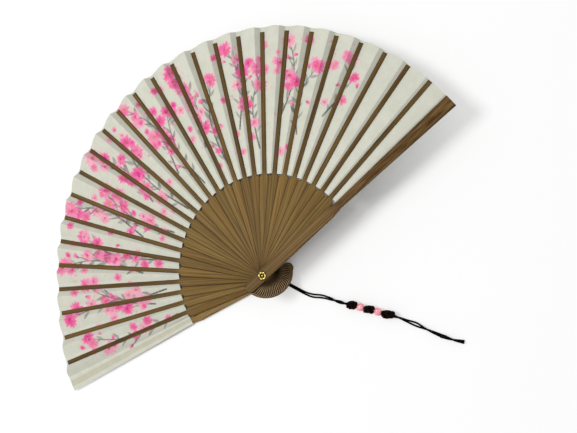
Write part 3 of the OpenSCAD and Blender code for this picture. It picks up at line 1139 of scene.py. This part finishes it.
def barrel(x, length):
    """A barrel's radius at x, as a share of the radius in its middle."""
    return np.sqrt(np.clip(1 - (x / (length * 0.54)) ** 2, 0.05, 1))


def woven_knot(middle, way, length, radius, strand, leads, bights, phase):
    """A turk's head: one closed strand that weaves round a barrel, and the barrel."""
    way, side, up = axes_along(way)
    t = np.linspace(0, 2 * np.pi, 70 * leads, endpoint=False)
    reach = length / 2 - strand
    x = reach * np.sin(bights * t)
    weave = 0.7 * strand * np.sin((leads + bights) * t)
    lumps = 0.25 * strand * (np.sin(3 * t + phase) + np.sin(2 * t + 2.3 * phase))
    out = (radius - 1.7 * strand) * barrel(x, length) + weave + lumps
    sideward = (out * np.cos(leads * t))[:, None] * side
    upward = (out * np.sin(leads * t))[:, None] * up
    line = middle + x[:, None] * way + sideward + upward
    radii = np.full(len(line), strand)
    woven = tube(line, radii, 10, lobes=2, depth=0.12, pitch=KNOT_PITCH, closed=True)
    stations = np.linspace(-reach, reach, 15)
    core_radii = (radius - 1.8 * strand) * barrel(stations, length)
    return [woven, tube(middle + stations[:, None] * way, core_radii, 20)]


def build_knots():
    shells = []
    for k, (place, length) in enumerate(zip(knot_places, KNOT_LENGTHS)):
        middle = row_start + place * row_way
        shells += woven_knot(middle, row_way, length, KNOT_RADIUS, KNOT_STRAND, 5, 4, 0.4 + 1.7 * k)
    middle = route[END_KNOT_POINT, :3]
    end_way = route[END_KNOT_POINT + 1, :3] - route[END_KNOT_POINT - 1, :3]
    end_way[2] = 0
    shells += woven_knot(middle, end_way, END_KNOT_LENGTH, END_KNOT_RADIUS, END_KNOT_STRAND, 3, 2, 5.2)
    piece = gathered("cord_knots_woven", shells, knot_material, 60)
    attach(piece, "base")
    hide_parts("cord_knots")
    return piece


def carved_bead(middle, way):
    """A round bead with slanting carved petals and a bore along its axis."""
    way, side, up = axes_along(way)
    rings, segments = 30, 72
    turns = [2 * math.pi * k / segments for k in range(segments)]
    limit = math.asin(BEAD_HALF / BEAD_RADIUS)
    vertices = []
    for i in range(rings + 1):
        latitude = -limit + 2 * limit * i / rings
        for turn in turns:
            wave = 0.5 + 0.5 * math.cos(BEAD_PETALS * turn + 2.4 * latitude)
            radius = BEAD_RADIUS - BEAD_CARVE * (1 - math.sqrt(wave)) * math.cos(latitude)
            out = radius * math.cos(latitude)
            around = out * math.cos(turn) * side + out * math.sin(turn) * up
            vertices.append(middle + radius * math.sin(latitude) * way + around)
    for end in (BEAD_HALF, -BEAD_HALF):
        for turn in turns:
            around = BEAD_BORE * (math.cos(turn) * side + math.sin(turn) * up)
            vertices.append(middle + 0.92 * (end * way + around))
    return vertices, ring_faces(rings + 3, segments, True)


def build_beads():
    shells = [carved_bead(row_start + place * row_way, row_way) for place in bead_places]
    piece = gathered("pink_beads_carved", shells, bead_material, 50)
    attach(piece, "base")
    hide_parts("pink_beads")
    return piece


knots = build_knots()
beads = build_beads()
for name, (piece, line) in cords.items():
    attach(piece, "base")
    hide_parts("cord")


# Stage
def straight_rays(tree):
    """1 for what the camera sees directly, in a reflection or through a clear piece."""
    rays = add_node(tree, "ShaderNodeLightPath").outputs
    seen = calculate("MAXIMUM", rays["Is Camera Ray"], rays["Is Glossy Ray"])
    return calculate("MAXIMUM", seen, rays["Is Transmission Ray"])


def either(tree, factor, first, second):
    """One shader or the other, by the factor."""
    node = add_node(tree, "ShaderNodeMixShader")
    settle(node, {0: factor, 1: first, 2: second})
    return node.outputs[0]


def build_floor():
    """A pale floor that keeps the fan's shadow. Further off and in front it glows where it is seen, painted
    light that makes the shadow fainter there.
    """
    bpy.ops.mesh.primitive_plane_add(size=6, location=(0, 0, -0.05 * MM))
    floor = bpy.context.object
    floor.name = "floor"
    made, tree, shader = material("floor_white")
    settle(shader, {"Base Color": (0.82, 0.82, 0.82), "Roughness": 0.9, "Specular IOR Level": 0.1})
    paper = add_node(tree, "ShaderNodeBsdfDiffuse")
    feed(paper.inputs["Color"], (1, 1, 1))
    glow = add_node(tree, "ShaderNodeEmission")
    sides = parts(add_node(tree, "ShaderNodeTexCoord").outputs["Object"])
    outward = span(flat_length(sides["X"], sides["Y"]), 0.1, 0.22, 0.0, 0.5)
    forward = span(sides["Y"], 0.005, -0.02, 0.0, 0.5)
    white = calculate("MAXIMUM", outward, forward)
    backdrop = either(tree, white, paper.outputs[0], glow.outputs[0])
    surface = either(tree, straight_rays(tree), shader.outputs[0], backdrop)
    feed(tree.nodes["Material Output"].inputs["Surface"], surface)
    floor.data.materials.append(made)


def build_world():
    """Soft light from all round, a little stronger from the leaf's side. It is white where it is seen."""
    world = bpy.data.worlds.new("studio")
    scene.world = world
    world.use_nodes = True
    tree = world.node_tree
    sides = parts(add_node(tree, "ShaderNodeTexCoord").outputs["Generated"])
    sky = span(sides["Y"], -1, 1, 0.52, 0.63)
    seen = straight_rays(tree)
    lit = times(sky, span(seen, 0, 1, 1, 0))
    settle(tree.nodes["Background"], {"Color": (1, 1, 1), "Strength": calculate("ADD", lit, seen)})


def area_light(name, place, target, size, power):
    data = bpy.data.lights.new(name, "AREA")
    data.shape = "DISK"
    data.size = size
    data.energy = power
    light = add_object(name, data)
    light.location = place
    light.rotation_mode = "QUATERNION"
    light.rotation_quaternion = (Vector(target) - Vector(place)).to_track_quat("-Z", "Y")


LIGHT_TARGET = (0, 0.07, 0.01)
build_floor()
build_world()
area_light("key", (-0.55, 0.6, 1.45), LIGHT_TARGET, 0.6, 14)
area_light("fill", (0.9, -0.7, 1.2), LIGHT_TARGET, 1.2, 1)

# Camera
CAMERA_PLACE = Vector((172.887, -115.389, 632.352)) * MM
CAMERA_AHEAD = Vector((-0.205498, 0.221823, -0.953187))
CAMERA_UP = Vector((0.547729, 0.782484, 0))
camera_data = bpy.data.cameras.new("camera")
camera_data.sensor_width = 36
camera_data.lens = 51.907
camera_data.clip_start = 0.01
camera = add_object("camera", camera_data)
right = CAMERA_AHEAD.cross(CAMERA_UP).normalized()
up = right.cross(CAMERA_AHEAD).normalized()
turned = Matrix((right, up, -CAMERA_AHEAD.normalized())).transposed()
camera.matrix_world = Matrix.Translation(CAMERA_PLACE) @ turned.to_4x4()
scene.camera = camera
scene.view_settings.view_transform = "Standard"
